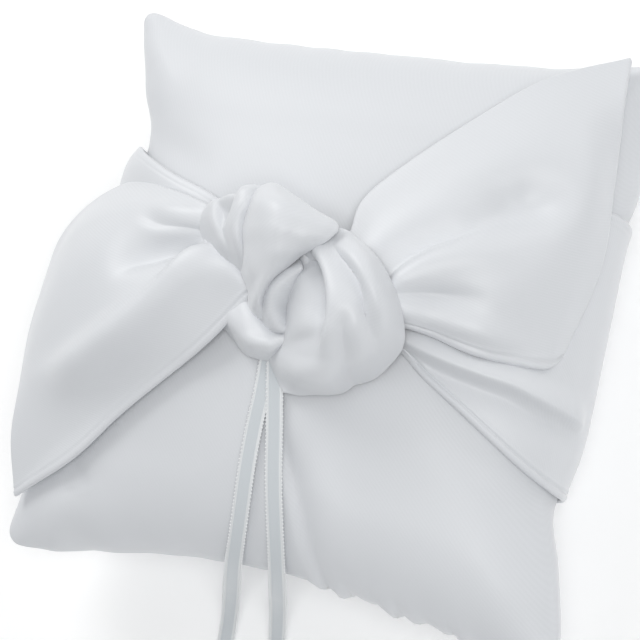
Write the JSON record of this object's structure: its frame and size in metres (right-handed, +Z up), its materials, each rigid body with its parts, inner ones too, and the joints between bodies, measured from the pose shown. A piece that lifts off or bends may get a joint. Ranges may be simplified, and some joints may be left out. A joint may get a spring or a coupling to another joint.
{
  "type": "ring bearer pillow",
  "caption": "Square stuffed satin cushion with a wide sash tied in a big knot, spreading tails and thin ribbons for the rings.",
  "frame": {"origin": "on the table under the middle of the cushion, lying on its back", "axes": "+X across the cushion along the sash, +Y to the cushion's top edge, +Z up through the knot"},
  "size_m": [0.2, 0.3461, 0.0981],
  "materials": {
    "cushion_satin": "off-white matte satin",
    "sash_satin": "off-white matte satin",
    "ribbon_satin": "glossy satin ribbon with picot edges",
    "thread": "sewing thread",
    "fibre_fill": "loose polyester fibre"
  },
  "bodies": {
    "cushion": {"cover_front": "cushion_satin", "cover_back": "cushion_satin", "filling": "fibre_fill", "sash_band_back": "sash_satin", "sash_band_left": "sash_satin", "sash_band_right": "sash_satin", "knot_over_flap": "sash_satin", "knot_left_fold": "sash_satin", "knot_inner_loop": "sash_satin", "knot_front_bundle": "sash_satin", "knot_under_fold": "sash_satin", "closing_stitches": "thread", "knot_tack_stitches": "thread", "ribbon_tack_stitches": "thread", "ribbon_fold": "ribbon_satin", "ribbon_left": "ribbon_satin", "ribbon_right": "ribbon_satin"},
    "left_tail": {"tail_left": "sash_satin"},
    "right_tail": {"tail_right": "sash_satin"}
  },
  "joints": [
    {"name": "left_tail_lift", "type": "hinge", "parent": "cushion", "child": "left_tail", "pos_m": [-0.03, 0.005, 0.079], "axis": [-0.1959, 0.9806, 0], "range_deg": [0, 40]},
    {"name": "right_tail_lift", "type": "hinge", "parent": "cushion", "child": "right_tail", "pos_m": [0.033, 0.01, 0.0795], "axis": [0.6618, -0.7497, 0], "range_deg": [0, 40]}
  ]
}
